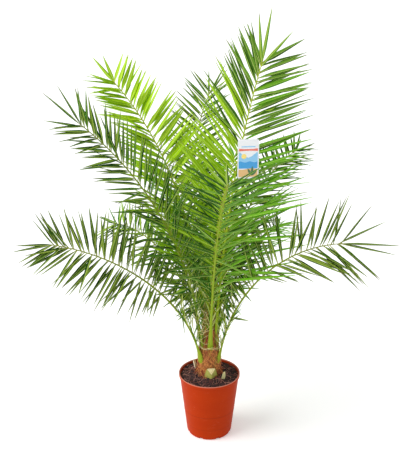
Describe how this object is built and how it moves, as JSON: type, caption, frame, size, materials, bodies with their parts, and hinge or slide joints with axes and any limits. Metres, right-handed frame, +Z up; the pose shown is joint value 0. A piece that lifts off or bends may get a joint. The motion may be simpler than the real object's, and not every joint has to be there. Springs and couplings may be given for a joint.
{
  "type": "potted date palm",
  "caption": "Young feather-leaved palm tree with a short fibrous trunk, arching fronds, a hanging plant label and a round tapered nursery pot it stands in.",
  "frame": {"origin": "middle of the pot's flat underside, on the floor", "axes": "+Z up along the pot's axis, +X to the right and +Y to the back as the plant is seen from its front"},
  "size_m": [1.4132, 1.429, 1.6516],
  "materials": {
    "pot": "satin",
    "soil": "matte",
    "trunk_fibre": "rough fibrous",
    "cut_stub": "matte",
    "leaf_stalk": "satin",
    "leaf_lime": "satin",
    "leaf_green": "satin",
    "leaf_deep": "satin",
    "label_card": "satin"
  },
  "bodies": {
    "root": {"back_left_blade": "leaf_deep", "back_left_stalk": "leaf_stalk", "back_left_tip": "leaf_deep", "back_right_blade": "leaf_green", "back_right_stalk": "leaf_stalk", "back_right_tip": "leaf_green", "back_stub": "cut_stub", "back_tall_blade": "leaf_deep", "back_tall_stalk": "leaf_stalk", "back_tall_tip": "leaf_deep", "front_blade": "leaf_green", "front_stalk": "leaf_stalk", "front_stub": "cut_stub", "front_tip": "leaf_green", "left_back_blade": "leaf_deep", "left_back_stalk": "leaf_stalk", "left_back_tip": "leaf_deep", "left_high_blade": "leaf_lime", "left_high_stalk": "leaf_stalk", "left_high_tip": "leaf_lime", "left_low_blade": "leaf_green", "left_low_stalk": "leaf_stalk", "left_low_tip": "leaf_green", "left_mid_blade": "leaf_deep", "left_mid_stalk": "leaf_stalk", "left_mid_tip": "leaf_deep", "left_stub": "cut_stub", "plant_label": "label_card", "pot": "pot", "right_back_blade": "leaf_green", "right_back_stalk": "leaf_stalk", "right_back_tip": "leaf_green", "right_high_blade": "leaf_lime", "right_high_stalk": "leaf_stalk", "right_high_tip": "leaf_lime", "right_low_blade": "leaf_green", "right_low_stalk": "leaf_stalk", "right_low_tip": "leaf_green", "right_mid_blade": "leaf_deep", "right_mid_stalk": "leaf_stalk", "right_mid_tip": "leaf_deep", "right_stub": "cut_stub", "soil": "soil", "spear_leaf": "leaf_lime", "trunk": "trunk_fibre"}
  },
  "joints": []
}
